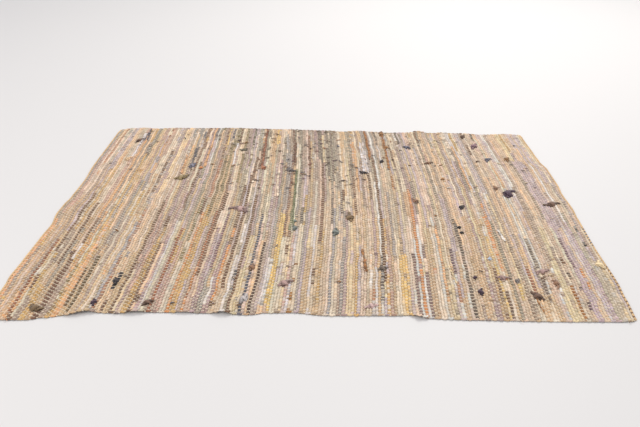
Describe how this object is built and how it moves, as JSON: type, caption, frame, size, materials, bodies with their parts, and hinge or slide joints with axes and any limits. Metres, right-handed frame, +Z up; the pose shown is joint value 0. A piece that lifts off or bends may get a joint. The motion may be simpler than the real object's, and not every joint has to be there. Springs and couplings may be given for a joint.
{
  "type": "rag rug",
  "caption": "Flat rectangular woven rag rug with ribs across its width, raised rag knots, slightly ruffled long edges and a narrow heading at each short end.",
  "frame": {"origin": "on the floor under the middle of the rug", "axes": "+X along the rug's length, with the warp; +Y across it, with the weft, towards the far long edge of the picture; +Z up"},
  "size_m": [2.349, 1.672, 0.0178],
  "materials": {
    "woven_rags": "matt mixed cotton rags in beige, tan, peach, grey, mauve and brown",
    "heading": "matt tan-peach cotton"
  },
  "bodies": {
    "root": {"rug_cloth": "woven_rags", "end_band_left": "heading", "end_band_right": "heading"}
  },
  "joints": []
}
